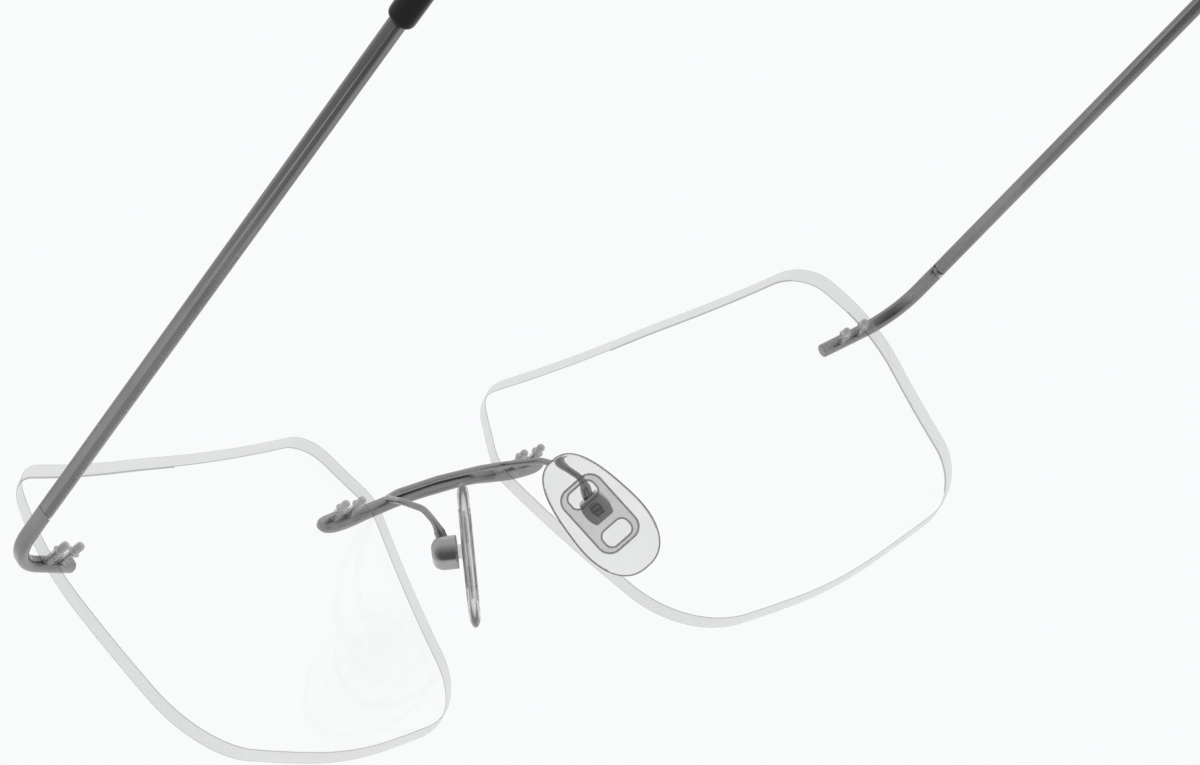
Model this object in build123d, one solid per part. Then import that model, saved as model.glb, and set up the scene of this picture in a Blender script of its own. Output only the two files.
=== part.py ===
"""Rimless eyeglasses with pinned lenses, folding temples and rocking nose pads.

Modelling frame, millimetres: X towards the wearer's left, Y from the front towards the
wearer's ears, Z up, origin midway between the two lens centres. The finished pieces are
then moved so that the origin is under the middle of the open glasses, on the plane that
the lens bottoms and the temple tips stand on.
"""
import math
import os
from build123d import *

# Lenses: both lie on nearly the same sphere, which gives the wrapped front.
LENS_CENTRE_X = 36.55
LENS_THICKNESS = 1.6
BACK_RADIUS = 149.0
SPHERE_CENTRE = Vector(1.4, 144.6, 8.4)
EDGE_TILT = 12.0            # degrees the edging axis points down towards the front
# Corners of the lens shape seen along the edging axis: across, up, corner radius.
LENS_CORNERS = [
    (2.0, 18.05, 100.0),
    (-23.4, 18.95, 4.5),
    (-27.2, 9.9, 5.0),
    (-19.4, -16.5, 12.0),
    (1.0, -18.95, 60.0),
    (22.4, -17.1, 9.0),
    (26.3, 5.7, 24.0),
    (23.2, 16.0, 6.0),
]

# Pinned mounts: two pins through each lens at the bridge and at the end piece.
BRIDGE_PIN_X = (12.5, 15.0)
BRIDGE_PIN_Z = 9.15
TEMPLE_PIN_X = (60.8, 58.4)
TEMPLE_PIN_Z = 7.8
PIN_RADIUS = 0.25
PIN_ROOT = 0.5              # depth of a pin in its bar
PLUG_RADIUS = 0.45
PLUG_STANDOFF = 1.4         # how far a plug stands out behind the lens
PLUG_END_RADIUS = 0.3
PLUG_END_WALL = 0.35        # plug left beyond the end of the pin
PLUG_FRONT_GAP = 0.02       # the plug stops this far short of the front of the lens
FLANGE_RADIUS = 0.64
FLANGE_THICKNESS = 0.16
FLANGE_LIFT = 0.01          # lets the flat flange clear the curved lens

# Bridge bar: stations of x, y, z, thickness and height of an oval section.
BRIDGE_STATIONS = [
    (0.0, -5.1, 9.25, 1.05, 1.7),
    (5.0, -5.3, 9.2, 1.05, 1.6),
    (9.6, -6.35, 9.2, 1.15, 1.65),
    (12.6, -6.35, 9.1, 1.5, 2.1),
    (15.2, -6.1, 8.95, 1.4, 2.1),
    (16.5, -5.95, 8.9, 1.1, 1.6),
    (17.2, -5.8, 8.85, 0.5, 0.7),
]

# Pad arm wire, from the middle of the bridge out, back and down to the pad box.
ARM_RADIUS = 0.36
ARM_POINTS = [
    (0.0, -4.2, 9.6),
    (6.3, -4.2, 9.4),
    (8.9, -3.4, 8.7),
    (10.7, 0.0, 6.4),
    (10.85, 2.2, 3.9),
    (11.3, 3.0, 1.6),
    (11.1, 2.28, -0.4),
]
ARM_BEND_RADII = [3.0, 1.6, 2.2, 3.0, 2.4]

# Nose pads.
PAD_CENTRE = Vector(10.1, 3.35, -2.95)
PAD_FACE = Vector(-0.70, 0.553, -0.442)     # towards the nose
PAD_DOWN = Vector(6.7, -2.97, -14.27)
PAD_LENGTH = 15.6
PAD_WIDTH = 8.9
PAD_THICKNESS = 1.4
PAD_TAPER = 0.8             # width of the top of a pad as a share of its bottom
PAD_EDGE_RADIUS = 0.62
INSERT_LENGTH = 8.8
INSERT_WIDTH = 5.3
INSERT_THICKNESS = 0.5
INSERT_COVER = 0.35         # silicone between the insert and the back of the pad
SLOT_LENGTH = 2.0
SLOT_WIDTH = 3.3
SLOT_OFFSET = 2.75
BOX_GAP = 0.4
BOX_DEPTH = 2.7
BOX_WIDTH = 2.9
BOX_LENGTH = 2.9
BOX_CROWN_RADIUS = 1.0
BOX_FOOT_RADIUS = 0.2
BOX_RISE = 0.45             # the box sits this far above the pad's centre
PAD_PIN_LENGTH = 2.3
SOCKET_WIDTH = 1.3
SOCKET_LENGTH = 1.9
SOCKET_DEPTH = 1.7
STUD_WIDTH = 1.1
STUD_RADIUS = 0.6
PIVOT_DEPTH = 0.85          # pad pivot below the mouth of the box
PAD_PIN_RADIUS = 0.3
RUNNING_CLEARANCE = 0.04

# End pieces and temples.
BAR_HEIGHT = 1.65
BAR_THICKNESS = 1.15
BAR_EDGE_RADIUS = 0.5
BAR_Z = 8.0
SEAM_X = 67.2
SEAM_Y = 17.2
BEND_CORNER = (66.75, 8.1)
BEND_RADIUS = 7.5
BAR_TIP = (57.0, 3.9)
SCOOP_LENGTH = 5.4
SCOOP_WIDTH = 1.15
SCOOP_DEPTH = 0.4
TEMPLE_SPREAD = 2.2         # degrees the open temple leans outwards
SEAM_GAP = 0.06
PIVOT_BACK = 0.5            # pivot axis ahead of the temple's shoulder
PIVOT_INSET = 0.15          # pivot axis inwards of the bar's middle
KNUCKLE_RADIUS = 0.42
TONGUE_HEIGHT = 0.56
FORK_GAP = 0.62
HINGE_PIN_RADIUS = 0.25
TEMPLE_STRAIGHT = 92.0
EAR_BEND_RADIUS = 22.0
EAR_DROP_ANGLE = 38.0
EAR_TAIL = 33.0
EAR_INWARD = 8.0            # degrees the ear bend leans in
SLEEVE_START = 70.2         # from the seam to the start of the tip sleeve
BAR_IN_SLEEVE = 1.5
# Tip sleeve: stations of share of its length, thickness and height of an oval section.
SLEEVE_STATIONS = [
    (0.0, 2.1, 2.6),
    (0.35, 2.05, 2.7),
    (0.7, 2.1, 3.4),
    (1.0, 2.0, 3.8),
]
CORE_RADIUS = 0.55
CORE_CLEAR_END = 8.0        # the core wire stops this far before the end of the tip


def back_surface(x, z):
    """Point of the back of the left lens at x and z."""
    across = (x - SPHERE_CENTRE.X) ** 2 + (z - SPHERE_CENTRE.Z) ** 2
    return Vector(x, SPHERE_CENTRE.Y - math.sqrt(BACK_RADIUS ** 2 - across), z)


def rod(start, direction, length, radius):
    """Round rod from a point along a direction."""
    base = Plane(origin=start, z_dir=direction)
    return extrude(base * Circle(radius), length)


def mirrored(shape):
    """The same piece on the wearer's right."""
    return mirror(shape, about=Plane.YZ)


# ---- lenses, pins and plugs ----
def lens_blank():
    """Left lens without its holes: a spherical shell cut to the outline."""
    tilt = math.radians(EDGE_TILT)
    edging_axis = Vector(0, -math.cos(tilt), -math.sin(tilt))
    plane = Plane(origin=(LENS_CENTRE_X, 0, 0), x_dir=(1, 0, 0), z_dir=edging_axis)
    corners = [(x, y) for x, y, _ in LENS_CORNERS]
    radii = [radius for _, _, radius in LENS_CORNERS]
    outline = make_face(plane * FilletPolyline(*corners, radius=radii, close=True))
    prism = extrude(outline, 25, both=True)
    outer = Pos(SPHERE_CENTRE) * Sphere(BACK_RADIUS + LENS_THICKNESS)
    inner = Pos(SPHERE_CENTRE) * Sphere(BACK_RADIUS)
    return (prism & outer) - inner


def pin_places(pin_x, pin_z):
    """Back-surface points of a pair of pins, and their shared direction to the rear."""
    points = [back_surface(x, pin_z) for x in pin_x]
    middle = (points[0] + points[1]) * 0.5
    return points, (SPHERE_CENTRE - middle).normalized()


def mount_pins(pin_x, pin_z):
    """The two pins, from inside the bar to near the end of the plugs."""
    points, rear = pin_places(pin_x, pin_z)
    front = LENS_THICKNESS + PIN_ROOT
    length = front + PLUG_STANDOFF - PLUG_END_WALL
    return [rod(p - rear * front, rear, length, PIN_RADIUS) for p in points]


def lens_plug(point, rear):
    """Clear plug: a bored, capped tube with a thin ring flange on the back of the lens."""
    across = rear.cross(Vector(0, 0, 1)).normalized()
    plane = Plane(origin=point, x_dir=across, z_dir=across.cross(rear))
    flange_top = FLANGE_LIFT + FLANGE_THICKNESS
    bore_end = PLUG_STANDOFF - PLUG_END_WALL
    foot = PLUG_FRONT_GAP - LENS_THICKNESS
    outside = Polyline(
        (PIN_RADIUS, foot), (PLUG_RADIUS, foot), (PLUG_RADIUS, FLANGE_LIFT), (FLANGE_RADIUS, FLANGE_LIFT),
        (FLANGE_RADIUS, flange_top), (PLUG_RADIUS, flange_top), (PLUG_RADIUS, PLUG_STANDOFF - PLUG_END_RADIUS),
    )
    top = (PLUG_RADIUS - PLUG_END_RADIUS, PLUG_STANDOFF)
    shoulder = RadiusArc(outside @ 1, top, -PLUG_END_RADIUS)
    inside = Polyline(top, (0, PLUG_STANDOFF), (0, bore_end), (PIN_RADIUS, bore_end), (PIN_RADIUS, foot))
    profile = make_face([outside, shoulder, inside])
    return revolve(plane * profile, axis=Axis(point, rear))


def lens_holes(pin_x, pin_z):
    """Cutters for the two holes of a mount."""
    points, rear = pin_places(pin_x, pin_z)
    return [rod(p - rear * 4, rear, 8, PLUG_RADIUS) for p in points]


def mount_plugs(pin_x, pin_z):
    """The two plugs of a mount."""
    points, rear = pin_places(pin_x, pin_z)
    return [lens_plug(point, rear) for point in points]


# ---- bridge and pad arms ----
def oval_section(x, y, z, thickness, height):
    """Oval across the bridge bar at one station."""
    plane = Plane(origin=(x, y, z), x_dir=(0, 1, 0), z_dir=(1, 0, 0))
    return plane * Ellipse(thickness / 2, height / 2)


def bridge_bar():
    """Slender arched bar with leaf-shaped ends that lie on the fronts of the lenses."""
    left = list(reversed(BRIDGE_STATIONS))
    right = [(-x, *rest) for x, *rest in BRIDGE_STATIONS[1:]]
    return loft([oval_section(*station) for station in left + right])


def pad_arm():
    """Left pad arm: one bent wire."""
    path = FilletPolyline(*ARM_POINTS, radius=ARM_BEND_RADII)
    section = Plane(origin=path @ 0, z_dir=path % 0) * Circle(ARM_RADIUS)
    return sweep(section, path=path)


# ---- nose pads ----
def pad_planes():
    """Plane of the left pad: X down its length, Y across it, Z towards the nose."""
    face = PAD_FACE.normalized()
    down = PAD_DOWN - face * PAD_DOWN.dot(face)
    return Plane(origin=PAD_CENTRE, x_dir=down, z_dir=face)


PAD_BACK = -PAD_THICKNESS / 2
BOX_MOUTH = PAD_BACK - BOX_GAP
PIVOT_HEIGHT = BOX_MOUTH - PIVOT_DEPTH


def pad_insert():
    """Moulded insert: slotted plate in the pad, and a stud with an eye for the pivot."""
    plate = RectangleRounded(INSERT_LENGTH, INSERT_WIDTH, 1.6)
    slot = RectangleRounded(SLOT_LENGTH, SLOT_WIDTH, 0.8)
    plate -= Pos(SLOT_OFFSET, 0) * slot
    plate -= Pos(-SLOT_OFFSET, 0) * slot
    plate_base = PAD_BACK + INSERT_COVER
    solid = extrude(Pos(0, 0, plate_base) * plate, INSERT_THICKNESS)
    neck_height = plate_base - PIVOT_HEIGHT
    neck = Pos(-BOX_RISE, 0, PIVOT_HEIGHT + neck_height / 2)
    solid += neck * Box(2 * STUD_RADIUS, STUD_WIDTH, neck_height)
    eye = Pos(-BOX_RISE, 0, PIVOT_HEIGHT) * Rot(90, 0, 0)
    solid += eye * Cylinder(STUD_RADIUS, STUD_WIDTH)
    return solid - eye * Cylinder(PAD_PIN_RADIUS + RUNNING_CLEARANCE, STUD_WIDTH + 1)


def nose_pad(insert):
    """Soft silicone pad moulded round its insert."""
    half_length = PAD_LENGTH / 2
    wide = PAD_WIDTH / 2
    narrow = wide * PAD_TAPER
    top_x = narrow - half_length
    end_x = half_length - wide
    top = ThreePointArc((top_x, -narrow), (-half_length, 0), (top_x, narrow))
    end = ThreePointArc((end_x, wide), (half_length, 0), (end_x, -wide))
    side_a = Line(top @ 1, end @ 0)
    side_b = Line(end @ 1, top @ 0)
    face = make_face([top, side_a, end, side_b])
    body = extrude(Pos(0, 0, PAD_BACK) * face, PAD_THICKNESS)
    rims = body.edges().group_by(Axis.Z)
    body = fillet(rims[0] + rims[-1], PAD_EDGE_RADIUS)
    return body - insert


def pad_box():
    """Half-round box on the end of the pad arm, open towards the pad."""
    half = BOX_WIDTH / 2
    straight = BOX_DEPTH - half
    corner = (-BOX_LENGTH / 2, 0, BOX_MOUTH - straight)
    end = Plane(origin=corner, x_dir=(0, 1, 0), z_dir=(1, 0, 0))
    profile = Circle(half) + Pos(0, straight / 2) * Rectangle(BOX_WIDTH, straight)
    profile -= Pos(0, straight + half) * Rectangle(BOX_WIDTH, BOX_WIDTH)
    body = extrude(end * profile, BOX_LENGTH)
    crown = body.faces().sort_by(Axis.X)[0].edges().filter_by(GeomType.CIRCLE)
    body = fillet(crown, BOX_CROWN_RADIUS)
    foot = body.faces().sort_by(Axis.X)[-1].edges()
    body = fillet(foot, BOX_FOOT_RADIUS)
    socket_centre = BOX_MOUTH - SOCKET_DEPTH / 2
    body -= Pos(0, 0, socket_centre) * Box(SOCKET_LENGTH, SOCKET_WIDTH, SOCKET_DEPTH)
    return Pos(-BOX_RISE, 0, 0) * body


def pad_pin():
    """Cross pin that the pad rocks on."""
    place = Pos(-BOX_RISE, 0, PIVOT_HEIGHT) * Rot(90, 0, 0)
    return place * Cylinder(PAD_PIN_RADIUS, PAD_PIN_LENGTH)


# ---- end pieces, hinges and temples ----
def bar_section(plane):
    """Rounded rectangle of the end piece and temple bars; the plane's Y is up."""
    return plane * RectangleRounded(BAR_THICKNESS, BAR_HEIGHT, BAR_EDGE_RADIUS)


SPREAD_ANGLE = math.radians(TEMPLE_SPREAD)
TEMPLE_DIRECTION = Vector(math.sin(SPREAD_ANGLE), math.cos(SPREAD_ANGLE), 0)
SEAM = Vector(SEAM_X, SEAM_Y, BAR_Z)
# Hinge plane: X outwards, Y back along the temple, Z up, origin on the pivot axis.
INWARDS = Vector(0, 0, 1).cross(TEMPLE_DIRECTION)
PIVOT = SEAM - TEMPLE_DIRECTION * PIVOT_BACK + INWARDS * PIVOT_INSET
HINGE_PLANE = Plane(origin=PIVOT, x_dir=INWARDS * -1, z_dir=(0, 0, 1))


def hinge_block(x_min, x_max, y_min, y_max, height):
    """Box given by its limits in the hinge plane, centred in height."""
    centre = Pos((x_min + x_max) / 2, (y_min + y_max) / 2, 0)
    return centre * Box(x_max - x_min, y_max - y_min, height)


def end_piece(lens):
    """Bar pinned to the front of the lens, bent round its edge, ending in the hinge fork."""
    lead = SEAM - TEMPLE_DIRECTION * SEAM_GAP
    corner = Vector(BEND_CORNER[0], BEND_CORNER[1], BAR_Z)
    tip = Vector(BAR_TIP[0], BAR_TIP[1], BAR_Z)
    path = FilletPolyline(lead, corner, tip, radius=BEND_RADIUS)
    start = Plane(origin=path @ 0, x_dir=HINGE_PLANE.x_dir, z_dir=path % 0)
    bar = sweep(bar_section(start), path=path)
    points, rear = pin_places(TEMPLE_PIN_X, TEMPLE_PIN_Z)
    middle = (points[0] + points[1]) * 0.5 - rear * LENS_THICKNESS
    along = (points[0] - points[1]).normalized()
    scoop_plane = Plane(origin=middle - rear * SCOOP_DEPTH, x_dir=along, z_dir=rear)
    bar -= extrude(scoop_plane * SlotOverall(SCOOP_LENGTH, SCOOP_WIDTH), 2)
    reach = KNUCKLE_RADIUS + RUNNING_CLEARANCE
    barrel = Cylinder(KNUCKLE_RADIUS, BAR_HEIGHT)
    corner_block = hinge_block(-2, 0, 0, PIVOT_BACK, BAR_HEIGHT + 1)
    fork_slot = hinge_block(-2, reach, -reach, 2, FORK_GAP)
    pin_hole = Cylinder(HINGE_PIN_RADIUS, BAR_HEIGHT + 1)
    bar = bar - HINGE_PLANE * corner_block + HINGE_PLANE * barrel
    return bar - HINGE_PLANE * fork_slot - HINGE_PLANE * pin_hole - lens


def ear_path():
    """Centre line of the temple from its shoulder to the end of the tip."""
    lean = math.radians(EAR_INWARD)
    drop = Vector(0, 0, -math.cos(lean)) + INWARDS * math.sin(lean)
    plane = Plane(origin=SEAM, x_dir=TEMPLE_DIRECTION, z_dir=TEMPLE_DIRECTION.cross(drop))
    angle = math.radians(EAR_DROP_ANGLE)
    corner_reach = EAR_BEND_RADIUS * math.tan(angle / 2)
    corner = TEMPLE_STRAIGHT + corner_reach
    tail = corner_reach + EAR_TAIL
    return plane, corner, (corner + tail * math.cos(angle), tail * math.sin(angle))


def temple():
    """Left temple bar with its hinge tongue, and the core wire inside the tip."""
    plane, corner, end = ear_path()
    start = Plane(origin=SEAM, x_dir=HINGE_PLANE.x_dir, z_dir=TEMPLE_DIRECTION)
    bar = extrude(bar_section(start), SLEEVE_START + BAR_IN_SLEEVE)
    share = 1 - CORE_CLEAR_END / EAR_TAIL
    core_end = (corner + (end[0] - corner) * share, end[1] * share)
    core_line = FilletPolyline((SLEEVE_START, 0), (corner, 0), core_end, radius=EAR_BEND_RADIUS)
    core_path = plane * core_line
    core_start = Plane(origin=core_path @ 0, z_dir=core_path % 0)
    core = sweep(core_start * Circle(CORE_RADIUS), path=core_path)
    tongue = hinge_block(-KNUCKLE_RADIUS, KNUCKLE_RADIUS, 0, PIVOT_BACK + 0.3, TONGUE_HEIGHT)
    tongue += Cylinder(KNUCKLE_RADIUS, TONGUE_HEIGHT)
    solid = bar + core + HINGE_PLANE * tongue
    return solid - HINGE_PLANE * Cylinder(HINGE_PIN_RADIUS + RUNNING_CLEARANCE, BAR_HEIGHT + 1)


def temple_tip(inner):
    """Moulded sleeve over the end of the temple, flattened towards its end."""
    plane, corner, end = ear_path()
    path = plane * FilletPolyline((SLEEVE_START, 0), (corner, 0), end, radius=EAR_BEND_RADIUS)
    outwards = plane.z_dir
    sections = []
    for place, thickness, height in SLEEVE_STATIONS:
        station = Plane(origin=path @ place, x_dir=outwards, z_dir=path % place)
        sections.append(station * Ellipse(thickness / 2, height / 2))
    sleeve = sweep(sections, path=path, multisection=True)
    return sleeve - inner


def hinge_pin():
    """Upright pin of the temple hinge."""
    return HINGE_PLANE * Cylinder(HINGE_PIN_RADIUS, BAR_HEIGHT)


# ---- assembly ----
def build():
    """Every node's solids, before they are moved to the row's origin."""
    blank = lens_blank()
    bridge_pins = mount_pins(BRIDGE_PIN_X, BRIDGE_PIN_Z)
    temple_pins = mount_pins(TEMPLE_PIN_X, TEMPLE_PIN_Z)
    lens = blank
    for hole in lens_holes(BRIDGE_PIN_X, BRIDGE_PIN_Z) + lens_holes(TEMPLE_PIN_X, TEMPLE_PIN_Z):
        lens -= hole
    bar = bridge_bar() - blank - mirrored(blank)
    arm = pad_arm() - bar
    for pin in bridge_pins:
        bar = bar - pin - mirrored(pin)
    left_end = end_piece(blank)
    for pin in temple_pins:
        left_end -= pin
    pad_plane = pad_planes()
    insert = pad_insert()
    pad = nose_pad(insert)
    box = pad_plane * (pad_box() - pad_pin())
    arm = arm - box
    left_temple = temple()
    left = {
        "lens": lens,
        "bridge_plugs": mount_plugs(BRIDGE_PIN_X, BRIDGE_PIN_Z),
        "temple_plugs": mount_plugs(TEMPLE_PIN_X, TEMPLE_PIN_Z),
        "pad_arm": arm,
        "pad_box": box,
        "pad_pin": pad_plane * pad_pin(),
        "pad_insert": pad_plane * insert,
        "nose_pad": pad_plane * pad,
        "end_piece": left_end,
        "end_piece_pins": temple_pins,
        "hinge_pin": hinge_pin(),
        "temple": left_temple,
        "temple_tip": temple_tip(left_temple),
    }
    nodes = {"bridge": [bar], "bridge_pins": bridge_pins + [mirrored(pin) for pin in bridge_pins]}
    for name, piece in left.items():
        pieces = piece if isinstance(piece, list) else [piece]
        nodes["left_" + name] = pieces
        nodes["right_" + name] = [mirrored(item) for item in pieces]
    return nodes


def main():
    """Build, move to the row's origin and write one STEP file per node."""
    nodes = build()
    solids = {}
    box = None
    for name, pieces in nodes.items():
        solids[name] = [solid for piece in pieces for solid in piece.solids()]
        for solid in solids[name]:
            box = solid.bounding_box() if box is None else box.add(solid.bounding_box())
    middle = (box.min + box.max) * 0.5
    shift = Pos(-middle.X, -middle.Y, -box.min.Z)
    os.makedirs("parts", exist_ok=True)
    for name, group in solids.items():
        moved = [shift * solid for solid in group]
        shape = moved[0] if len(moved) == 1 else Compound(children=moved)
        export_step(shape, os.path.join("parts", name + ".step"))
    print("moved by", -middle.X, -middle.Y, -box.min.Z)
    print("size", box.size)


main()
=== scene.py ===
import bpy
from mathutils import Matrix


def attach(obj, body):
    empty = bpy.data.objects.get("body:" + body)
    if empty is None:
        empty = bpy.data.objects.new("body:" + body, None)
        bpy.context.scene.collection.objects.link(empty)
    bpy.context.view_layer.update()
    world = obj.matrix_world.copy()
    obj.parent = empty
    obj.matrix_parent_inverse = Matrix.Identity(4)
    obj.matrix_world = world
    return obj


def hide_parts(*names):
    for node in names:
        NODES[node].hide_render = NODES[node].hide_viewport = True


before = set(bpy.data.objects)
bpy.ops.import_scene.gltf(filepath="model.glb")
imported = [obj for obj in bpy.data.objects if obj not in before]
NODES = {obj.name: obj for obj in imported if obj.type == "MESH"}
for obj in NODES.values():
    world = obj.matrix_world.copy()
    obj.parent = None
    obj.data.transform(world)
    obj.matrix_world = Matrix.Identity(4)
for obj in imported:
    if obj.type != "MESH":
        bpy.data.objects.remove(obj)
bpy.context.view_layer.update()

import math

import bmesh
import bpy
from mathutils import Matrix, Quaternion, Vector

MM = 0.001


# ---- camera: from below and behind the wearer's left, rolled, with a long lens ----
CAMERA_AZIMUTH = 130.8
CAMERA_ELEVATION = -17.5
CAMERA_ROLL = -34.13
CAMERA_PLACE = (0.28879, 0.20234, -0.09575)
CAMERA_LENS = 117.54
CAMERA_SHIFT = (0.0036, -0.0266)


def make_camera():
    """Rolled camera with a long lens."""
    data = bpy.data.cameras.new("camera")
    data.lens = CAMERA_LENS
    data.sensor_width = 36.0
    data.shift_x, data.shift_y = CAMERA_SHIFT
    data.clip_start = 0.01
    camera = bpy.data.objects.new("camera", data)
    bpy.context.scene.collection.objects.link(camera)
    turn = (
        Matrix.Rotation(math.radians(CAMERA_AZIMUTH), 3, "Z")
        @ Matrix.Rotation(math.radians(90 - CAMERA_ELEVATION), 3, "X")
        @ Matrix.Rotation(math.radians(CAMERA_ROLL), 3, "Z")
    )
    camera.matrix_world = Matrix.Translation(CAMERA_PLACE) @ turn.to_4x4()
    bpy.context.scene.camera = camera


# ---- studio ----
BACKDROP = (0.947, 0.956, 0.965, 1)
DARK_SIDE = (0.75, 0.62, -0.2)      # direction of the darker side of the room


def make_world():
    """Pale backdrop, and a softer surrounding for reflections with a darker side."""
    world = bpy.data.worlds.new("studio")
    bpy.context.scene.world = world
    world.use_nodes = True
    nodes, links = world.node_tree.nodes, world.node_tree.links
    nodes.clear()
    out = nodes.new("ShaderNodeOutputWorld")
    back = nodes.new("ShaderNodeBackground")
    back.inputs["Color"].default_value = BACKDROP
    room = nodes.new("ShaderNodeBackground")
    coords = nodes.new("ShaderNodeTexCoord")
    dot = nodes.new("ShaderNodeVectorMath")
    dot.operation = "DOT_PRODUCT"
    dot.inputs[1].default_value = DARK_SIDE
    fade = nodes.new("ShaderNodeValToRGB")
    bright, dark = fade.color_ramp.elements
    bright.position = 0.5
    bright.color = (1.0, 1.0, 1.0, 1)
    dark.position = 0.95
    dark.color = (0.22, 0.22, 0.23, 1)
    paths = nodes.new("ShaderNodeLightPath")
    either = nodes.new("ShaderNodeMath")
    either.operation = "MAXIMUM"
    mix = nodes.new("ShaderNodeMixShader")
    links.new(coords.outputs["Generated"], dot.inputs[0])
    links.new(dot.outputs["Value"], fade.inputs["Fac"])
    links.new(fade.outputs["Color"], room.inputs["Color"])
    links.new(paths.outputs["Is Camera Ray"], either.inputs[0])
    links.new(paths.outputs["Is Transmission Ray"], either.inputs[1])
    links.new(either.outputs[0], mix.inputs[0])
    links.new(room.outputs[0], mix.inputs[1])
    links.new(back.outputs[0], mix.inputs[2])
    links.new(mix.outputs[0], out.inputs["Surface"])


def make_light(name, place, size, power):
    """Soft area light that faces the glasses."""
    data = bpy.data.lights.new(name, "AREA")
    data.shape = "RECTANGLE"
    data.size, data.size_y = size
    data.energy = power
    lamp = bpy.data.objects.new(name, data)
    bpy.context.scene.collection.objects.link(lamp)
    lamp.location = place
    lamp.rotation_euler = (-Vector(place)).to_track_quat("-Z", "Y").to_euler()


def make_floor():
    """Pale floor under the glasses, seen only from above."""
    mesh = bpy.data.meshes.new("floor")
    half = 3.0
    corners = [(-half, -half, 0), (half, -half, 0), (half, half, 0), (-half, half, 0)]
    mesh.from_pydata(corners, [], [(0, 1, 2, 3)])
    floor = bpy.data.objects.new("floor", mesh)
    bpy.context.scene.collection.objects.link(floor)
    material = bpy.data.materials.new("pale_floor")
    material.use_nodes = True
    nodes, links = material.node_tree.nodes, material.node_tree.links
    shader = nodes["Principled BSDF"]
    shader.inputs["Base Color"].default_value = (0.86, 0.865, 0.87, 1)
    shader.inputs["Roughness"].default_value = 0.75
    clear = nodes.new("ShaderNodeBsdfTransparent")
    side = nodes.new("ShaderNodeNewGeometry")
    mix = nodes.new("ShaderNodeMixShader")
    links.new(side.outputs["Backfacing"], mix.inputs[0])
    links.new(shader.outputs[0], mix.inputs[1])
    links.new(clear.outputs[0], mix.inputs[2])
    links.new(mix.outputs[0], nodes["Material Output"].inputs["Surface"])
    floor.data.materials.append(material)
    floor.visible_glossy = False
    floor.visible_diffuse = False
    floor.visible_shadow = False


# ---- shapes: worked out in the modelling frame, in millimetres ----
SHIFT = Vector((0.0, -71.40798, 18.87657))     # from the modelling frame to the row frame
SPHERE_CENTRE = Vector((1.4, 144.6, 8.4))
BACK_RADIUS = 149.0
FRONT_RADIUS = 150.6
EDGING_TILT = math.radians(12)
EDGING_AXIS = Vector((0, math.cos(EDGING_TILT), math.sin(EDGING_TILT)))
BRIDGE_PINS = ((12.5, 9.15), (15.0, 9.15))
TEMPLE_PINS = ((60.8, 7.8), (58.4, 7.8))
BRIDGE_SEAT = (BRIDGE_PINS, 0.8, 0.05, 9.9, 18)        # pins, scoop radius and depth, and span in x
TEMPLE_SEAT = (TEMPLE_PINS, 0.75, 0.03, 50, 62.2)
BAR_Z = 8.0
BAR_HALF_THICK = 0.575
BAR_HALF_HIGH = 0.825
BAR_CORNER = 0.5
SPREAD = math.radians(2.2)
ALONG = Vector((math.sin(SPREAD), math.cos(SPREAD), 0))
INWARDS = Vector((-math.cos(SPREAD), math.sin(SPREAD), 0))
SEAM = Vector((67.2, 17.2, BAR_Z))
MIRROR = Matrix.Diagonal((-1, 1, 1))
UNTURNED = Matrix.Identity(3)
SIDES = (("left", UNTURNED), ("right", MIRROR))


def placed(point, turn):
    """Point of the left half, turned to its own side and put in the row frame."""
    return ((turn @ point) + SHIFT) * MM


def rounded_route(corners, radii):
    """Close points on straight runs whose corners are rounded to the given radii."""
    route = [Vector(corners[0])]
    for k in range(1, len(corners) - 1):
        corner = Vector(corners[k])
        back = (Vector(corners[k - 1]) - corner).normalized()
        ahead = (Vector(corners[k + 1]) - corner).normalized()
        half = back.angle(ahead) / 2
        centre = corner + (back + ahead).normalized() * (radii[k - 1] / math.sin(half))
        reach = radii[k - 1] / math.tan(half)
        start = corner + back * reach - centre
        end = corner + ahead * reach - centre
        turn = start.angle(end)
        axis = start.cross(end).normalized()
        count = max(6, int(turn * 20))
        for j in range(count + 1):
            route.append(centre + Quaternion(axis, turn * j / count) @ start)
    route.append(Vector(corners[-1]))
    return route


def route_length(route):
    """Length of a route along its points."""
    return sum((b - a).length for a, b in zip(route, route[1:]))


def along_route(route, distance):
    """Point and direction at a distance along a route."""
    for a, b in zip(route, route[1:]):
        step = (b - a).length
        if distance <= step or b is route[-1]:
            return a.lerp(b, distance / step), (b - a).normalized()
        distance -= step


def rounded_loop(centre, side, up, half_side, half_up, radius, per_corner):
    """Loop of points round a rectangle with rounded corners."""
    radius = min(radius, half_side, half_up)
    points = []
    for quarter, (sx, sy) in enumerate(((1, 1), (-1, 1), (-1, -1), (1, -1))):
        middle = centre + side * sx * (half_side - radius) + up * sy * (half_up - radius)
        for j in range(per_corner):
            angle = (quarter + (j + 0.5) / per_corner) * math.pi / 2
            points.append(middle + side * math.cos(angle) * radius + up * math.sin(angle) * radius)
    return points


def oval_loop(centre, side, up, half_side, half_up, power=2.0, count=32):
    """Loop of points round an oval; a higher power is squarer."""
    points = []
    for j in range(count):
        angle = 2 * math.pi * j / count
        c, s = math.cos(angle), math.sin(angle)
        x = math.copysign(abs(c) ** (2 / power), c) * half_side
        y = math.copysign(abs(s) ** (2 / power), s) * half_up
        points.append(centre + side * x + up * y)
    return points


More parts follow.
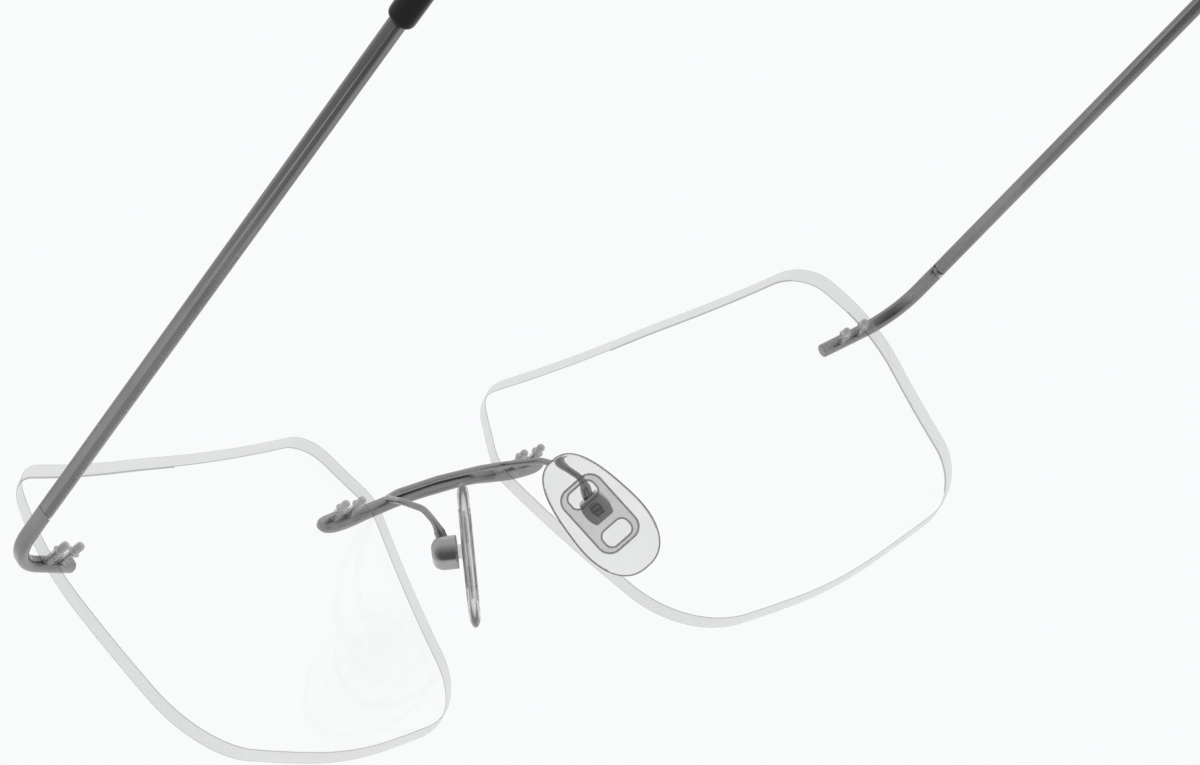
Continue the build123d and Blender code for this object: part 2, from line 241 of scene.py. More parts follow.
def skin(loops):
    """Points and faces of a skin over loops of equal count, closed by a fan at each end."""
    count = len(loops[0])
    points = [p for loop in loops for p in loop]
    faces = []
    for k in range(len(loops) - 1):
        for j in range(count):
            a, b = k * count + j, k * count + (j + 1) % count
            faces.append((a, b, b + count, a + count))
    for k in (0, len(loops) - 1):
        points.append(sum(loops[k], Vector()) / count)
        for j in range(count):
            faces.append((k * count + j, k * count + (j + 1) % count, len(points) - 1))
    return points, faces


def lathe(origin, axis, profile, count):
    """Skin turned round an axis from (radius, height) points."""
    side = axis.orthogonal().normalized()
    up = axis.cross(side).normalized()
    return skin([oval_loop(origin + axis * h, side, up, r, r, count=count) for r, h in profile])


def finish_mesh(mesh, edge_angle):
    """Outward normals, and smooth shading except over sharp edges."""
    made = bmesh.new()
    made.from_mesh(mesh)
    bmesh.ops.recalc_face_normals(made, faces=made.faces)
    made.to_mesh(mesh)
    made.free()
    mesh.shade_smooth()
    mesh.set_sharp_from_angle(angle=math.radians(edge_angle))


def add_piece(name, parts, turn, body, nodes, slot, *materials, edge_angle=40):
    """New piece from (points, faces) parts in modelling millimetres, in the row frame."""
    points, faces = [], []
    for part_points, part_faces in parts:
        faces += [tuple(len(points) + k for k in face) for face in part_faces]
        points += [placed(p, turn) for p in part_points]
    mesh = bpy.data.meshes.new(name)
    mesh.from_pydata(points, [], faces)
    finish_mesh(mesh, edge_angle)
    return register(name, mesh, body, nodes, materials)


def register(name, mesh, body, nodes, materials):
    """Piece made from a mesh, with its body, CAD nodes and materials."""
    mesh.materials.clear()
    for material in materials:
        mesh.materials.append(material)
    piece = bpy.data.objects.new(name, mesh)
    bpy.context.scene.collection.objects.link(piece)
    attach(piece, body)
    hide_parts(*nodes)
    return piece


def cleaned_copy(node, bevel=0.0, keep_behind=None):
    """Mesh copied from a CAD node, welded, with its sharp edges eased by a bevel in mm."""
    made = bmesh.new()
    made.from_mesh(NODES[node].data)
    bmesh.ops.remove_doubles(made, verts=made.verts, dist=0.002 * MM)
    if keep_behind:
        place, direction = keep_behind
        everything = made.verts[:] + made.edges[:] + made.faces[:]
        bmesh.ops.bisect_plane(made, geom=everything, plane_co=(place + SHIFT) * MM,
                               plane_no=direction, clear_inner=True)
    bmesh.ops.recalc_face_normals(made, faces=made.faces)
    if bevel:
        sharp = [e for e in made.edges if len(e.link_faces) == 2 and e.calc_face_angle(0) > math.radians(38)]
        bmesh.ops.bevel(made, geom=sharp, offset=bevel * MM, segments=2, profile=0.5, affect="EDGES",
                        clamp_overlap=True)
    mesh = bpy.data.meshes.new(node + "_shape")
    made.to_mesh(mesh)
    made.free()
    finish_mesh(mesh, 35)
    return mesh


# ---- materials ----
def new_material(name, **sockets):
    """Principled material; an underscore stands for each space in a socket's name."""
    material = bpy.data.materials.new(name)
    material.use_nodes = True
    shader = material.node_tree.nodes["Principled BSDF"]
    for key, value in sockets.items():
        shader.inputs[key.replace("_", " ")].default_value = value
    return material, material.node_tree, shader


def grain(tree, scale, detail, stretch=(1, 1, 1)):
    """Noise in the object's own space; scale is in repeats per metre."""
    coords = tree.nodes.new("ShaderNodeTexCoord")
    mapping = tree.nodes.new("ShaderNodeMapping")
    mapping.inputs["Scale"].default_value = stretch
    noise = tree.nodes.new("ShaderNodeTexNoise")
    noise.inputs["Scale"].default_value = scale
    noise.inputs["Detail"].default_value = detail
    tree.links.new(coords.outputs["Object"], mapping.inputs["Vector"])
    tree.links.new(mapping.outputs[0], noise.inputs["Vector"])
    return noise.outputs["Fac"]


def ranged(tree, value, low, high, start=0.3, end=0.7):
    """Value between start and end, stretched to run from low to high."""
    node = tree.nodes.new("ShaderNodeMapRange")
    node.inputs["From Min"].default_value = start
    node.inputs["From Max"].default_value = end
    node.inputs["To Min"].default_value = low
    node.inputs["To Max"].default_value = high
    tree.links.new(value, node.inputs["Value"])
    return node.outputs["Result"]


def ramp(tree, value, *stops):
    """Colour picked by a value from (place, colour) stops."""
    node = tree.nodes.new("ShaderNodeValToRGB")
    elements = node.color_ramp.elements
    while len(elements) < len(stops):
        elements.new(0.5)
    for element, (place, colour) in zip(elements, stops):
        element.position = place
        element.color = (*colour, 1)
    tree.links.new(value, node.inputs["Fac"])
    return node.outputs["Color"]


def multiply(tree, a, b):
    """Product of two colours."""
    node = tree.nodes.new("ShaderNodeMix")
    node.data_type = "RGBA"
    node.blend_type = "MULTIPLY"
    node.inputs[0].default_value = 1.0
    tree.links.new(a, node.inputs[6])
    tree.links.new(b, node.inputs[7])
    return node.outputs[2]


def bump(tree, shader, *layers):
    """Stacked bump layers of (value, strength, height in mm)."""
    normal = None
    for value, strength, height in layers:
        node = tree.nodes.new("ShaderNodeBump")
        node.inputs["Strength"].default_value = strength
        node.inputs["Distance"].default_value = height * MM
        tree.links.new(value, node.inputs["Height"])
        if normal:
            tree.links.new(normal, node.inputs["Normal"])
        normal = node.outputs[0]
    tree.links.new(normal, shader.inputs["Normal"])


def facing(tree, blend):
    """How far a surface turns away from the eye."""
    node = tree.nodes.new("ShaderNodeLayerWeight")
    node.inputs["Blend"].default_value = blend
    return node.outputs["Facing"]


def grey(level):
    return level, level, level


def cool_grey(level):
    """Grey with the slightest blue in it."""
    return level, level, level + 0.005


def metal(name, dark, light, rough, lines, line_strength):
    """Fine-blasted titanium: soft colour drift, drawing lines, micro grain and handling marks."""
    material, tree, shader = new_material(name, Metallic=1.0)
    drift = ramp(tree, grain(tree, 140, 4), (0.32, dark), (0.68, light))
    marks = ramp(tree, grain(tree, 600, 2, (1.0, 0.35, 1.0)), (0.30, grey(0.94)), (0.5, grey(1)))
    tree.links.new(multiply(tree, drift, marks), shader.inputs["Base Color"])
    drawn = grain(tree, 1600, 1, lines)
    tree.links.new(ranged(tree, drawn, rough - 0.03, rough + 0.04), shader.inputs["Roughness"])
    bump(tree, shader, (drawn, line_strength, 0.02), (grain(tree, 1300, 1), 0.01, 0.02))
    return material


def silicone_material():
    """Clear soft silicone: painted shade darkens its colour where it is seen edge-on, with faint flow marks.
    """
    material, tree, shader = new_material("clear_silicone", IOR=1.22, Transmission_Weight=1.0)
    # painted shade: the colour darkens where the surface turns away from the eye
    seen = ramp(tree, facing(tree, 0.42), (0.45, grey(0.84)), (0.93, grey(0.30)))
    flow = ramp(tree, grain(tree, 320, 3), (0.3, grey(0.95)), (0.7, grey(1)))
    tree.links.new(multiply(tree, seen, flow), shader.inputs["Base Color"])
    tree.links.new(ranged(tree, grain(tree, 960, 2), 0.03, 0.11), shader.inputs["Roughness"])
    bump(tree, shader, (grain(tree, 192, 2), 0.06, 0.05))
    return material


def lens_face_material():
    """Polished clear lens: a few percent of coated mirror, with the lightest wiping haze."""
    material, tree, shader = new_material("lens_clear", Metallic=1.0)
    haze = grain(tree, 60, 5, (1.0, 1.0, 2.2))
    tree.links.new(ramp(tree, haze, (0.3, (0.94, 0.97, 0.955)), (0.8, (0.98, 1.0, 0.99))),
                   shader.inputs["Base Color"])
    tree.links.new(ranged(tree, haze, 0.01, 0.05, 0.45, 0.8), shader.inputs["Roughness"])
    tree.links.new(ranged(tree, haze, 0.025, 0.034), shader.inputs["Alpha"])
    return material


def frosted_material(name, dark, light, cover, fine, stretch, rough):
    """Half-clear frosted plastic: a veil of scattered grey over what lies behind it."""
    material, tree, shader = new_material(name, Specular_IOR_Level=0.35)
    lines = grain(tree, fine, 2, stretch)
    cloud = grain(tree, 130, 3)
    colour = multiply(tree, ramp(tree, cloud, (0.3, dark), (0.7, light)),
                      ramp(tree, lines, (0.3, grey(0.93)), (0.7, grey(1))))
    tree.links.new(colour, shader.inputs["Base Color"])
    tree.links.new(ranged(tree, lines, rough - 0.06, rough + 0.06), shader.inputs["Roughness"])
    tree.links.new(ranged(tree, cloud, cover - 0.03, cover + 0.03), shader.inputs["Alpha"])
    bump(tree, shader, (lines, 0.08, 0.03))
    return material


def rim_shade_material():
    """Round rim of the soft pads, in painted shade: pale seen square on, dark where it turns away."""
    material, tree, shader = new_material("silicone_rim_shade", Specular_IOR_Level=0.5)
    # painted shade: the colour darkens where the rim turns away from the eye
    seen = ramp(tree, facing(tree, 0.5), (0.20, grey(0.66)), (0.42, grey(0.13)))
    cloud = grain(tree, 260, 3)
    soft = ramp(tree, cloud, (0.3, grey(0.92)), (0.7, grey(1)))
    tree.links.new(multiply(tree, seen, soft), shader.inputs["Base Color"])
    tree.links.new(ranged(tree, cloud, 0.18, 0.28), shader.inputs["Roughness"])
    # more cover where the rim turns away, for the same painted shade
    tree.links.new(ranged(tree, facing(tree, 0.5), 0.3, 0.85, 0.18, 0.42), shader.inputs["Alpha"])
    bump(tree, shader, (cloud, 0.05, 0.03))
    return material


def black_material():
    """Polished black tip with a moulded skin, faint wiping marks and worn sheen."""
    material, tree, shader = new_material("tip_black", Specular_IOR_Level=0.14)
    cloud = grain(tree, 220, 4)
    tree.links.new(ramp(tree, cloud, (0.3, (0.004, 0.004, 0.0045)), (0.7, (0.007, 0.007, 0.0075))),
                   shader.inputs["Base Color"])
    wiped = grain(tree, 2600, 3, (1.0, 0.12, 1.0))
    tree.links.new(ranged(tree, wiped, 0.14, 0.22), shader.inputs["Roughness"])
    bump(tree, shader, (grain(tree, 700, 3), 0.08, 0.06), (wiped, 0.03, 0.02))
    return material


SATIN = metal("satin_titanium", cool_grey(0.195), cool_grey(0.225), 0.24, (1.0, 0.02, 1.0), 0.012)
BRIDGE_SATIN = metal("satin_bridge", cool_grey(0.225), cool_grey(0.25), 0.32, (0.02, 1.0, 1.0), 0.012)
WIRE = metal("drawn_wire", cool_grey(0.225), cool_grey(0.26), 0.24, (1.0, 1.0, 0.05), 0.015)
POLISHED = metal("polished_titanium", cool_grey(0.30), cool_grey(0.35), 0.17, (1.0, 1.0, 0.2), 0.02)
# rougher matte finish for the box mouth and socket; its lighter colour is painted light in the recess
SOCKET = metal("pad_socket", cool_grey(0.42), cool_grey(0.46), 0.5, (1.0, 1.0, 1.0), 0.01)
TURNED = metal("turned_pin", grey(0.40), grey(0.50), 0.26, (1.0, 0.1, 1.0), 0.03)

GROUND = (3000, (0.02, 1.0, 0.25), 0.5)         # scale and stretch of the grain, and roughness
MOULDED = (900, (1, 1, 1), 0.3)
GLOSSY = (1800, (1, 1, 1), 0.25)
LENS_FACE = lens_face_material()
LENS_EDGE = frosted_material("lens_edge", grey(0.34), grey(0.44), 0.35, *GROUND)
# painted shade: a darker grey on the rim bevels draws dark lines along both sides of the edge
LENS_RIM_SHADE = frosted_material("lens_rim_shade", grey(0.16), grey(0.24), 0.62, *GROUND)
PLUG = frosted_material("clear_plug", grey(0.50), grey(0.62), 0.86, *GLOSSY)
PLUG_SEAT = frosted_material("plug_seat", grey(0.42), grey(0.50), 0.4, *GLOSSY)
SILICONE = silicone_material()
SILICONE_RIM_SHADE = rim_shade_material()
INSERT = frosted_material("moulded_insert", grey(0.36), grey(0.42), 0.22, *MOULDED)
# painted shade: the plate's edge faces are a touch darker than its flat faces
INSERT_EDGE_SHADE = frosted_material("insert_edge_shade", grey(0.34), grey(0.42), 0.25, *MOULDED)
# painted shade: near-black fine tubes stand in for the dark lines along the insert's edges
INSERT_SHADE_LINE = frosted_material("insert_shade_line", grey(0.05), grey(0.08), 0.42, *MOULDED)
BLACK = black_material()


# ---- lenses ----
def make_lenses():
    """Lenses with eased rims, and frosted edges between two finer rim lines of painted shade."""
    for side, turn in SIDES:
        mesh = cleaned_copy(side + "_lens", bevel=0.12)
        axis = turn @ EDGING_AXIS
        pins = [placed(Vector((x, 0, z)), turn) for x, z in BRIDGE_PINS + TEMPLE_PINS]
        register(side + "_lens_shape", mesh, "front", [side + "_lens"],
                 (LENS_FACE, LENS_EDGE, LENS_RIM_SHADE))
        for face in mesh.polygons:
            slope = abs(face.normal.dot(axis))
            hole = any(math.hypot(face.center.x - p.x, face.center.z - p.z) < 0.9 * MM for p in pins)
            if not hole and slope < 0.8:
                # faces between steep and flat take index 2, the darker painted-shade rim lines
                face.material_index = 1 if slope < 0.3 else 2


# ---- bridge, wires and plugs ----
BRIDGE_STATIONS = [     # x, y, z, thickness, height
    (0.0, -5.1, 9.25, 1.05, 1.7),
    (5.0, -5.3, 9.2, 1.05, 1.6),
    (9.6, -6.35, 9.2, 1.15, 1.65),
    (12.6, -6.35, 9.1, 1.5, 2.1),
    (15.2, -6.1, 8.95, 1.4, 2.1),
    (16.5, -5.95, 8.9, 1.1, 1.6),
    (17.15, -5.8, 8.85, 0.5, 0.7),
]


def hermite(stations, place):
    """Values between stations on a smooth curve through all of them."""
    k = 0
    while k < len(stations) - 2 and place > stations[k + 1][0]:
        k += 1
    a, b = stations[k], stations[k + 1]
    before, after = stations[max(k - 1, 0)], stations[min(k + 2, len(stations) - 1)]
    width = b[0] - a[0]
    t = (place - a[0]) / width
    values = []
    for j in range(1, len(a)):
        slope_a = (b[j] - before[j]) / (b[0] - before[0]) * width
        slope_b = (after[j] - a[j]) / (after[0] - a[0]) * width
        values.append((2 * t**3 - 3 * t**2 + 1) * a[j] + (t**3 - 2 * t**2 + t) * slope_a
                      + (3 * t**2 - 2 * t**3) * b[j] + (t**3 - t**2) * slope_b)
    return values


def segment_distance(p, a, b):
    """Distance in x and z from a point to a segment."""
    ax, az = a
    bx, bz = b
    share = ((p.x - ax) * (bx - ax) + (p.z - az) * (bz - az)) / ((bx - ax) ** 2 + (bz - az) ** 2)
    share = min(1.0, max(0.0, share))
    return math.hypot(p.x - ax - share * (bx - ax), p.z - az - share * (bz - az))


def seated(p, pins, scoop_radius, scoop_depth, lens_start, lens_end):
    """A bar's point pressed onto the front of the left lens, or into the scoop round its pins."""
    if not lens_start < p.x < lens_end:
        return p
    ray = p - SPHERE_CENTRE
    distance = segment_distance(p, pins[0], pins[1])
    dip = 0.0
    if distance < scoop_radius:
        dip = scoop_depth * (1 - (distance / scoop_radius) ** 4)
    surface = FRONT_RADIUS + 0.01 + dip
    if ray.length < surface:
        return SPHERE_CENTRE + ray.normalized() * surface
    return p


def make_bridge():
    """Arched bar with leaf ends that are scooped round the lens pins."""
    stations = [(-x, *rest) for x, *rest in reversed(BRIDGE_STATIONS[1:])] + BRIDGE_STATIONS
    end = BRIDGE_STATIONS[-1][0]
    count = 230
    loops = []
    for k in range(count + 1):
        x = -end + 2 * end * k / count
        y, z, thickness, height = hermite(stations, x)
        ring = oval_loop(Vector((x, y, z)), Vector((0, 1, 0)), Vector((0, 0, 1)), thickness / 2, height / 2,
                         2.15, 48)
        mirror = MIRROR if x < 0 else UNTURNED
        loops.append([mirror @ seated(mirror @ p, *BRIDGE_SEAT) for p in ring])
    add_piece("bridge_bar", [skin(loops)], UNTURNED, "front", ["bridge"], "frame_metal", BRIDGE_SATIN,
              edge_angle=50)


ARM_RADIUS = 0.355
ARM_FLARE = 0.24        # extra radius where the wire meets the pad box
ARM_BEND_RADII = (3.0, 1.6, 2.2, 3.0, 2.4)
ARM_POINTS = [
    (0.0, -4.2, 9.6),
    (6.3, -4.2, 9.4),
    (8.9, -3.4, 8.7),
    (10.7, 0.0, 6.4),
    (10.85, 2.2, 3.9),
    (11.3, 3.0, 1.6),
    (11.1, 2.28, -0.4),
]


def tube_loops(route, radius_at, step=0.2, count=24):
    """Round loops along a route, turned as little as possible from one to the next."""
    length = route_length(route)
    side = None
    loops = []
    for k in range(int(length / step) + 1):
        distance = min(length, k * step)
        place, direction = along_route(route, distance)
        side = direction.orthogonal().normalized() if side is None else side
        side = (side - direction * side.dot(direction)).normalized()
        radius = radius_at(length - distance)
        loops.append(oval_loop(place, side, direction.cross(side), radius, radius, count=count))
    return loops


def arm_radius(left):
    """Wire radius by the length left to its end: it flares into the pad box."""
    flare = min(1.0, max(0.0, (2.6 - left) / 1.4))
    return ARM_RADIUS + ARM_FLARE * flare * flare


def make_arms():
    """Pad arm wires, soldered to the back of the bridge and flared into the pad boxes."""
    route = rounded_route(ARM_POINTS, ARM_BEND_RADII)
    for side, turn in SIDES:
        add_piece(side + "_pad_arm_wire", [skin(tube_loops(route, arm_radius))], turn, "front",
                  [side + "_pad_arm"], "frame_metal", WIRE)


PLUG_PROFILE = [        # radius, and height over the back of the lens
    (0.30, -1.56), (0.44, -1.54), (0.45, -1.5), (0.45, 0.0), (0.60, 0.012), (0.635, 0.03), (0.64, 0.07),
    (0.615, 0.095), (0.59, 0.10), (0.61, 0.115), (0.60, 0.15), (0.56, 0.168), (0.50, 0.17), (0.455, 0.20),
    (0.445, 0.5), (0.45, 0.85), (0.44, 0.98), (0.40, 1.12), (0.33, 1.21), (0.22, 1.27), (0.10, 1.295),
]


def make_plugs():
    """Clear plugs: a double-lipped flange on the lens and a round-ended sleeve behind it."""
    for side, turn in SIDES:
        for kind, pins in (("bridge", BRIDGE_PINS), ("temple", TEMPLE_PINS)):
            points = []
            for x, z in pins:
                across = (x - SPHERE_CENTRE.x) ** 2 + (z - SPHERE_CENTRE.z) ** 2
                points.append(Vector((x, SPHERE_CENTRE.y - math.sqrt(BACK_RADIUS**2 - across), z)))
            rear = (SPHERE_CENTRE - (points[0] + points[1]) / 2).normalized()
            sleeves = [lathe(p, rear, PLUG_PROFILE, 36) for p in points]
            pair = add_piece(f"{side}_{kind}_plug_pair", sleeves, turn, "front", [f"{side}_{kind}_plugs"],
                             "clear_plug", PLUG, PLUG_SEAT, edge_angle=50)
            back = placed(points[0], turn)
            for face in pair.data.polygons:
                if (face.center - back).dot(turn @ rear) < 0:
                    face.material_index = 1


# ---- nose pads ----
PAD_CENTRE = Vector((10.1, 3.35, -2.95))
PAD_FACE = Vector((-0.70, 0.553, -0.442)).normalized()
PAD_DOWN = Vector((6.7, -2.97, -14.27))
PAD_X = (PAD_DOWN - PAD_FACE * PAD_DOWN.dot(PAD_FACE)).normalized()
PAD_Y = PAD_FACE.cross(PAD_X)
PAD_HALF_LENGTH = 7.8
PAD_HALF_WIDTH = 4.45
PAD_HALF_THICKNESS = 0.7
INSERT_COVER = 0.35
INSERT_THICKNESS = 0.5
BOX_RISE = 0.45
BOX_MOUTH = -1.1
BOX_DEPTH = 2.7
BOX_HALF_LENGTH = 1.45
BOX_HALF_WIDTH = 1.5
BOX_CROWN = 1.2             # length of the rounded back
SOCKET_DEPTH = 1.2
SOCKET_HALF_LENGTH = 0.78
SOCKET_HALF_WIDTH = 0.60
SOCKET_REACH = 0.95         # radius round the socket's axis that holds all of it
SHADE_LINE_RADIUS = 0.11
INSERT_RINGS = (            # place along the pad, half length, half width, corner radius
    (0, 4.3, 2.55, 1.5),
    (2.75, 1.08, 1.73, 0.88),
    (-2.75, 1.08, 1.73, 0.88),
)


def pad_point(x, y, z):
    """Point of the left pad's own frame, in the modelling frame."""
    return PAD_CENTRE + PAD_X * x + PAD_Y * y + PAD_FACE * z


def pad_outline(count):
    """Outline of a pad: an egg with its narrow end up."""
    points = []
    for j in range(count):
        angle = 2 * math.pi * j / count
        c, s = math.cos(angle), math.sin(angle)
        x = math.copysign(abs(c) ** 0.82, c) * PAD_HALF_LENGTH
        width = PAD_HALF_WIDTH * (0.915 + 0.085 * math.tanh(x / 4.0))
        points.append((x, math.copysign(abs(s) ** 0.82, s) * width))
    return points


def nose_pad_parts():
    """Soft lens-shaped pad: gently crowned faces and a full round rim."""
    outline = pad_outline(72)
    profile = []
    for k in range(1, 9):
        share = k / 8 * 0.80
        profile.append((share, PAD_HALF_THICKNESS * (0.97 - 0.09 * share**2)))
    for k in range(1, 9):
        angle = k / 8 * math.pi / 2
        profile.append((0.80 + 0.20 * math.sin(angle), PAD_HALF_THICKNESS * 0.912 * math.cos(angle)))
    loops = []
    for share, height in profile:
        loops.append([pad_point(x * share, y * share, height) for x, y in outline])
    for share, height in reversed(profile[:-1]):
        loops.append([pad_point(x * share, y * share, -height) for x, y in outline])
    return [skin(loops)]


def barrel_loop(depth, half_x, half_y, count=56):
    """Loop across the pad box: straight top and bottom, bulging sides."""
    bulge = 1.5 * half_x
    points = []
    for j in range(count):
        angle = 2 * math.pi * (j + 0.5) / count
        c, s = math.cos(angle), math.sin(angle)
        reach = 1 / max(abs(c) / half_x, math.hypot(c / bulge, s / half_y))
        points.append(pad_point(reach * c - BOX_RISE, reach * s, BOX_MOUTH - depth))
    return points


def pad_box_parts():
    """Barrel-sided box with a rounded back and a small mouth for the pad's stud."""
    def inner(depth, grown=0.0):
        return barrel_loop(depth, SOCKET_HALF_LENGTH + grown, SOCKET_HALF_WIDTH + grown)

    def outer(depth, shrunk=0.0):
        return barrel_loop(depth, BOX_HALF_LENGTH - shrunk, BOX_HALF_WIDTH - shrunk)

    straight = BOX_DEPTH - BOX_CROWN
    loops = [inner(SOCKET_DEPTH), inner(0.04), inner(0.0, 0.04), outer(0.0, 0.1), outer(0.03, 0.03)]
    loops += [outer(0.1 + (straight - 0.1) * k / 6) for k in range(7)]
    for k in range(1, 13):
        angle = k / 12 * math.pi / 2
        shrink = 1 - math.cos(angle * 0.97)
        depth = straight + BOX_CROWN * math.sin(angle)
        loops.append(barrel_loop(depth, BOX_HALF_LENGTH - BOX_CROWN * shrink, BOX_HALF_WIDTH - 0.5 * shrink))
    return [skin(loops)]


def closed_tube(ring, lift, radius, count=10):
    """Fine flattened tube round a closed flat loop."""
    points, faces = [], []
    size = len(ring)
    for k in range(size):
        along = (ring[(k + 1) % size] - ring[k - 1]).normalized()
        side = along.cross(lift).normalized()
        points += oval_loop(ring[k], side, lift, radius, radius * 0.5, count=count)
        for j in range(count):
            a, b = k * count + j, k * count + (j + 1) % count
            faces.append((a, b, (b + count) % (size * count), (a + count) % (size * count)))
    return points, faces


def insert_shade_line_parts():
    """Fine dark tubes round the insert plate and its two slots: painted shade for the dark lines along their
    edges.
    """
    middle = -PAD_HALF_THICKNESS + INSERT_COVER + INSERT_THICKNESS / 2
    rings = []
    for x, half_x, half_y, corner in INSERT_RINGS:
        ring = rounded_loop(pad_point(x, 0, middle), PAD_X, PAD_Y, half_x, half_y, corner, 10)
        rings.append(closed_tube(ring, PAD_FACE, SHADE_LINE_RADIUS))
    return rings


def mouth_faces(mesh, place, axis):
    """Second material on the mouth and socket of a pad box."""
    for face in mesh.polygons:
        towards = face.normal.dot(axis)
        near = (face.center - place).cross(axis).length < SOCKET_REACH * MM
        if towards > 0.9 or (near and towards > -0.5):
            face.material_index = 1


def edge_faces(mesh, axis, limit):
    """Second material on the faces that stand up along an axis."""
    for face in mesh.polygons:
        if abs(face.normal.dot(axis)) < limit:
            face.material_index = 1


def make_pads():
    """Soft pads, their inserts with fine lines of painted shade, and the metal boxes that hold them."""
    for side, turn in SIDES:
        axis = turn @ PAD_FACE
        pad = add_piece(side + "_nose_pad_soft", nose_pad_parts(), turn, side + "_pad", [side + "_nose_pad"],
                        "pad_silicone", SILICONE, SILICONE_RIM_SHADE, edge_angle=60)
        # the pad's upright rim faces take the painted-shade rim material
        edge_faces(pad.data, axis, 0.82)
        box = add_piece(side + "_pad_box_shell", pad_box_parts(), turn, "front", [side + "_pad_box"],
                        "polished_metal", POLISHED, SOCKET, edge_angle=50)
        mouth_faces(box.data, placed(pad_point(-BOX_RISE, 0, BOX_MOUTH), turn), axis)
        # fine dark tubes of painted shade round the insert and its slots
        add_piece(side + "_pad_insert_shade_lines", insert_shade_line_parts(), turn, side + "_pad", [side + "_pad_insert"],
                  "pad_insert", INSERT_SHADE_LINE, edge_angle=60)
        plate = register(side + "_pad_insert_plate", cleaned_copy(side + "_pad_insert", bevel=0.07),
                         side + "_pad", [side + "_pad_insert"], (INSERT, INSERT_EDGE_SHADE))
        # the plate's upright edge faces take the slightly darker painted-shade copy
        edge_faces(plate.data, axis, 0.8)


# ---- end pieces, hinges, temples, pins and tips ----
BAR_TIP = (57.0, 3.9, BAR_Z)
BEND_CORNER = (66.75, 8.1, BAR_Z)
BEND_RADIUS = 7.5
END_STATIONS = [        # distance from the tip, half thickness, half height, corner radius
    (0.0, 0.78, 0.79, 0.78),
    (3.5, 0.78, 0.80, 0.76),
    (7.0, 0.68, 0.82, 0.64),
    (11.0, 0.60, BAR_HALF_HIGH, 0.54),
    (15.0, BAR_HALF_THICK, BAR_HALF_HIGH, BAR_CORNER),
    (30.0, BAR_HALF_THICK, BAR_HALF_HIGH, BAR_CORNER),
]
HINGE_CUT = 1.4         # length of the hinge end that keeps the fork and knuckle


def end_piece_parts():
    """Bar with a round, flat-ended rod over the lens, scooped round its pins."""
    route = rounded_route([BAR_TIP, BEND_CORNER, SEAM], (BEND_RADIUS,))
    length = route_length(route) - HINGE_CUT
    up = Vector((0, 0, 1))
    loops = []
    places = [(0.0, 0.86), (0.03, 0.93), (0.08, 0.975), (0.16, 1.0)]
    places += [(0.16 + (length - 0.16) * k / 130, 1.0) for k in range(1, 131)]
    for distance, scale in places:
        place, direction = along_route(route, distance)
        thick, high, corner = hermite(END_STATIONS, distance)
        side = direction.cross(up).normalized()
        ring = rounded_loop(place, side, up, thick * scale, high * scale, corner * scale, 12)
        loops.append([seated(p, *TEMPLE_SEAT) for p in ring])
    return [skin(loops)]


def ease_hinge(mesh, turn):
    """Hinge knuckles and pin trimmed to the rounded section of the bar."""
    flat = BAR_HALF_THICK - BAR_CORNER
    for vertex in mesh.vertices:
        place = (turn @ (vertex.co / MM - SHIFT)) - SEAM
        if abs(place.dot(ALONG)) > HINGE_CUT - 0.1:
            continue
        across = min(max(abs(place.dot(INWARDS)) - flat, 0), BAR_CORNER * 0.98)
        tallest = BAR_HALF_HIGH - BAR_CORNER + math.sqrt(BAR_CORNER**2 - across**2) - 0.01
        if abs(place.z) > tallest:
            place.z = math.copysign(tallest, place.z)
            vertex.co = placed(place + SEAM, turn)
    return mesh


def make_end_pieces():
    """End pieces with their hinge forks, temple bars, and all turned pins."""
    parts = end_piece_parts()
    for side, turn in SIDES:
        place = turn @ (SEAM - ALONG * (HINGE_CUT + 0.02))
        hinge = cleaned_copy(side + "_end_piece", keep_behind=(place, turn @ ALONG))
        register(side + "_hinge_fork", ease_hinge(hinge, turn), "front", [side + "_end_piece"],
                 (SATIN,))
        add_piece(side + "_end_piece_bar", parts, turn, "front", [side + "_end_piece"], "frame_metal", SATIN,
                  edge_angle=45)
        register(side + "_temple_bar", ease_hinge(cleaned_copy(side + "_temple"), turn), side + "_temple_arm",
                 [side + "_temple"], (SATIN,))
        for node in ("end_piece_pins", "hinge_pin", "pad_pin"):
            pin = cleaned_copy(f"{side}_{node}", bevel=0.03)
            if node == "hinge_pin":
                ease_hinge(pin, turn)
            register(f"{side}_{node}_turned", pin, "front", [f"{side}_{node}"], (TURNED,))
    register("bridge_pins_turned", cleaned_copy("bridge_pins", bevel=0.03), "front", ["bridge_pins"],
             (TURNED,))


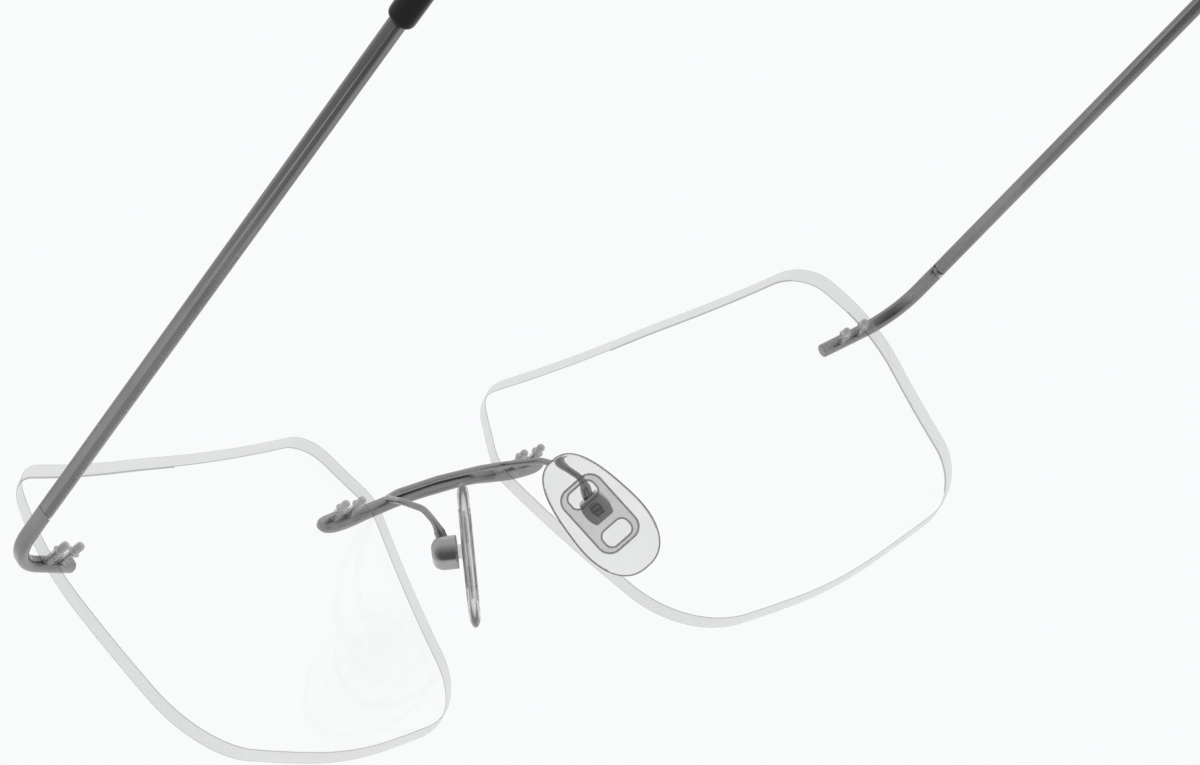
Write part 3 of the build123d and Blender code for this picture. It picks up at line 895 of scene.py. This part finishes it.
SLEEVE_STATIONS = [     # share of the length, half thickness, half height
    (0.0, 1.04, 1.29),
    (0.35, 1.02, 1.34),
    (0.7, 1.04, 1.68),
    (1.0, 0.99, 1.88),
]
SLEEVE_START = 70.2
SLEEVE_MOUTH = 0.5          # length of the eased mouth
TIP_ROUND = 1.9             # length of the rounded end
STRAIGHT = 92.0
EAR_RADIUS = 22.0
EAR_ANGLE = math.radians(38.0)
EAR_TAIL = 33.0
EAR_LEAN = math.radians(8.0)


def tip_parts():
    """Sleeve with an eased mouth, bent over the ear and flattened to a rounded paddle."""
    drop = Vector((0, 0, -math.cos(EAR_LEAN))) + INWARDS * math.sin(EAR_LEAN)
    outwards = ALONG.cross(drop).normalized()
    down = outwards.cross(ALONG).normalized()
    reach = EAR_RADIUS * math.tan(EAR_ANGLE / 2)
    corner = SEAM + ALONG * (STRAIGHT + reach)
    tail = ALONG * math.cos(EAR_ANGLE) + down * math.sin(EAR_ANGLE)
    end = corner + tail * (reach + EAR_TAIL)
    route = rounded_route([SEAM + ALONG * SLEEVE_START, corner, end], (EAR_RADIUS,))
    length = route_length(route)
    loops = []
    places = [(0.0, 0.62), (0.0, 0.80), (0.05, 0.88), (0.14, 0.94), (0.28, 0.98), (SLEEVE_MOUTH, 1.0)]
    straight = length - SLEEVE_MOUTH - TIP_ROUND
    places += [(SLEEVE_MOUTH + straight * k / 110, 1.0) for k in range(1, 111)]
    for k in range(1, 12):
        angle = k * math.pi / 24
        places.append((length - TIP_ROUND + TIP_ROUND * math.sin(angle), math.cos(angle)))
    for distance, scale in places:
        place, direction = along_route(route, distance)
        thick, high = hermite(SLEEVE_STATIONS, distance / length)
        up = direction.cross(outwards).normalized()
        loops.append(oval_loop(place, outwards, up, thick * scale**0.7, high * scale, 2.25, 40))
    return [skin(loops)]


def make_tips():
    """Black sleeves over the ends of both temples."""
    parts = tip_parts()
    for side, turn in SIDES:
        add_piece(side + "_tip_sleeve", parts, turn, side + "_temple_arm", [side + "_temple_tip"],
                  "tip_black", BLACK, edge_angle=50)


make_camera()
make_world()
make_floor()
make_light("key", (-0.5, 0.4, 0.9), (0.8, 0.8), 0.5)
make_light("fill", (0.8, -0.6, 0.7), (0.9, 0.9), 0.3)
make_lenses()
make_bridge()
make_arms()
make_plugs()
make_pads()
make_end_pieces()
make_tips()
bpy.context.scene.view_settings.view_transform = "Standard"
